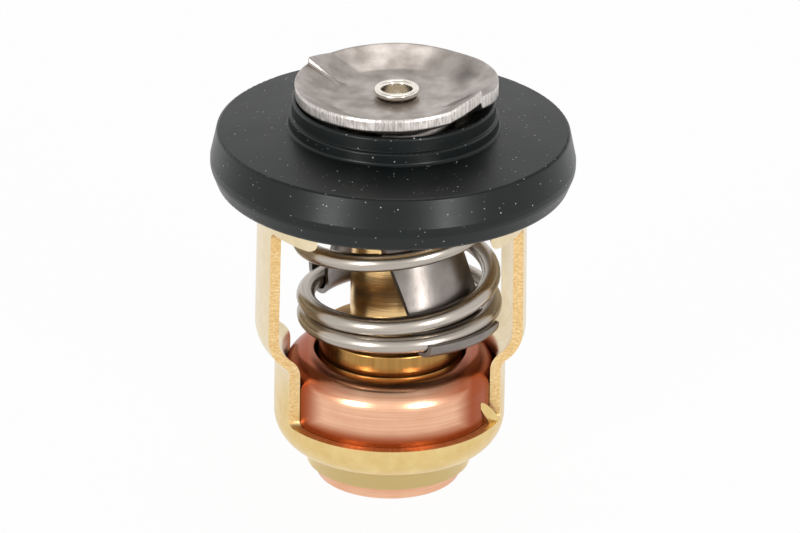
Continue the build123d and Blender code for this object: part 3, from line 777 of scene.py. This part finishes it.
def dish(radius, under):
    """Height of the disc's top or underside over its floor: flat, then a bend, then the cone."""
    bend = BEND + under
    start = FLOOR_R - BEND * tan(RIM_ANGLE / 2)
    stop = start + bend * sin(RIM_ANGLE)
    if radius <= start:
        return -under
    if radius <= stop:
        return bend - sqrt(bend**2 - (radius - start) ** 2) - under
    return bend * (1 - cos(RIM_ANGLE)) + (radius - stop) * tan(RIM_ANGLE) - under


def smooth(low, high, value):
    """0 below low, 1 above high, and an even curve between."""
    part = min(max((value - low) / (high - low), 0), 1)
    return part * part * (3 - 2 * part)


# %% Disc ribs
RIBS = (
    # azimuth of the crest, width of the slow side at the rim, rise, share left past the step, its width
    (-34.0, 4.4, 1.0, 0.3, 4.5),
    (150.0, 3.4, 0.62, 0.0, 1.5),
)
STEP_WIDTH = 0.28
SWELLS = (
    # azimuth, half width in degrees, rise at the rim
    (-47.0, 28.0, 0.34),
    (52.0, 24.0, -0.28),
)


def turned_by(azimuth, start):
    """Angle from start to azimuth, between minus and plus half a turn."""
    return (azimuth - start + pi) % (2 * pi) - pi


def pressed(radius, azimuth):
    """How far the ribs and the bent-up side lift the sheet."""
    to_rim = min(max((radius - 6.5) / (RIM_R - 6.5), 0), 1) ** 1.5
    lift = 0.0
    for middle, spread_by, swell in SWELLS:
        bell = exp(-((turned_by(azimuth, radians(middle)) / radians(spread_by)) ** 2))
        lift += swell * bell * to_rim
    for crest, width, rise, left, fall in RIBS:
        past = turned_by(azimuth, radians(crest)) * radius
        outward = min(max((radius - 5.2) / (RIM_R - 5.2), 0), 1) ** 0.8 * rise
        if past <= 0:
            lift += outward * max(1 + past / width, 0)
        else:
            step = 1 - (1 - left) * smooth(0, STEP_WIDTH, past)
            lift += outward * step * (1 - smooth(0, fall, past))
    return lift


# %% Disc grid
AROUND = 900
top_radii = [HOLE_R + (RIM_R - 0.12 - HOLE_R) * i / 40 for i in range(41)]
section = [(r, False, 0.0, 0.0) for r in top_radii]
section += [(RIM_R - 0.05, False, -0.02, 0.3), (RIM_R, False, -0.08, 1.0)]
section += [(RIM_R, True, up_by, 1.0) for up_by in (0.95, 0.7, 0.45, 0.2, 0.06)]
section += [(RIM_R - 0.05, True, 0.0, 0.5)] + [(r, True, 0.0, 0.0) for r in reversed(top_radii[::2])]

disc = bmesh.new()
loops = []
edge_shares = []
edge_lays = []
for radius, under, raised, on_edge in section:
    loop = []
    for i in range(AROUND):
        azimuth = 2 * pi * i / AROUND
        around = Vector((cos(azimuth), sin(azimuth), 0))
        marks = noise.noise(around * 35 + Vector((0, 0, raised))) * 0.02 * on_edge
        dents = noise.noise(around * 4 + Vector((0, 0, radius / 4))) * 0.035 * smooth(6.0, RIM_R, radius)
        height = FLOOR_Z + dish(radius, SHEET if under else 0.0) + raised + pressed(radius, azimuth) + dents
        loop.append(disc.verts.new(leaned @ Vector((*(around.xy * (radius + marks)), height)) * MM))
        edge_shares.append(on_edge)
        # The tear lines are 0.16 mm apart round the edge and run nearly the edge's height
        edge_lays.append((*(around.xy * RIM_R / 0.16), raised * 0.8))
    loops.append(loop)
for inner, outer in zip(loops, loops[1:] + loops[:1]):
    for i in range(AROUND):
        j = (i + 1) % AROUND
        disc.faces.new((inner[i], outer[i], outer[j], inner[j])).smooth = True
bmesh.ops.recalc_face_normals(disc, faces=disc.faces)
print("disc rings:", len(loops))

# %% Disc piece
disc_mesh = bpy.data.meshes.new("pressed_disc")
disc.to_mesh(disc_mesh)
disc.free()
on_edge_of = disc_mesh.attributes.new("on_edge", "FLOAT", "POINT")
on_edge_of.data.foreach_set("value", edge_shares)
lay_of_edge = disc_mesh.attributes.new("edge_lay", "FLOAT_VECTOR", "POINT")
lay_of_edge.data.foreach_set("vector", [part for lay_at in edge_lays for part in lay_at])
keep_mesh("pressed_disc", disc_mesh, stainless, "stainless_sheet", VALVE, "valve_disc")

# %% [markdown]
# ## Burr of the window
# At the foot of the right leg the die left a sliver of brass, still held at the window's lower corner
# and bent forward over the cup. It is a thin strip with a torn, narrowing end, so its section is moved
# along a short path and shrinks towards the tip.

# %% Burr
BURR_PATH = (
    # middle of the strip, half width, half thickness, in millimetres
    ((11.25, -3.95, 7.35), 0.6, 0.16),
    ((10.95, -4.3, 7.95), 0.58, 0.14),
    ((10.6, -4.7, 8.7), 0.52, 0.12),
    ((10.15, -5.1, 9.45), 0.46, 0.1),
    ((9.8, -5.35, 10.0), 0.34, 0.08),
    ((9.6, -5.5, 10.35), 0.12, 0.04),
)
burr = bmesh.new()
rings_of_burr = []
# The broad face looks at the viewer, and the strip's width lies across its path
broad = Vector((0.0, -0.914, 0.406))
side = Vector((0.765, 0.261, 0.588))
for place_at, half_width, half_thick in BURR_PATH:
    middle = Vector(place_at)
    corners = [(-1, -1), (1, -0.6), (1, 0.6), (-1, 1)]
    ring_at = [middle + side * half_width * a + broad * half_thick * b for a, b in corners]
    rings_of_burr.append([burr.verts.new(point * MM) for point in ring_at])
for lower, upper in zip(rings_of_burr, rings_of_burr[1:]):
    for i in range(4):
        j = (i + 1) % 4
        burr.faces.new((lower[i], lower[j], upper[j], upper[i]))
burr.faces.new(rings_of_burr[0])
burr.faces.new(rings_of_burr[-1])
bmesh.ops.recalc_face_normals(burr, faces=burr.faces)
burr_mesh = bpy.data.meshes.new("window_burr")
burr.to_mesh(burr_mesh)
burr.free()
all_skin = burr_mesh.attributes.new("skin_only", "FLOAT", "POINT")
all_skin.data.foreach_set("value", [1.0] * len(burr_mesh.vertices))
keep_mesh("window_burr", burr_mesh, dipped_brass, "brass_sheet", HOUSING)
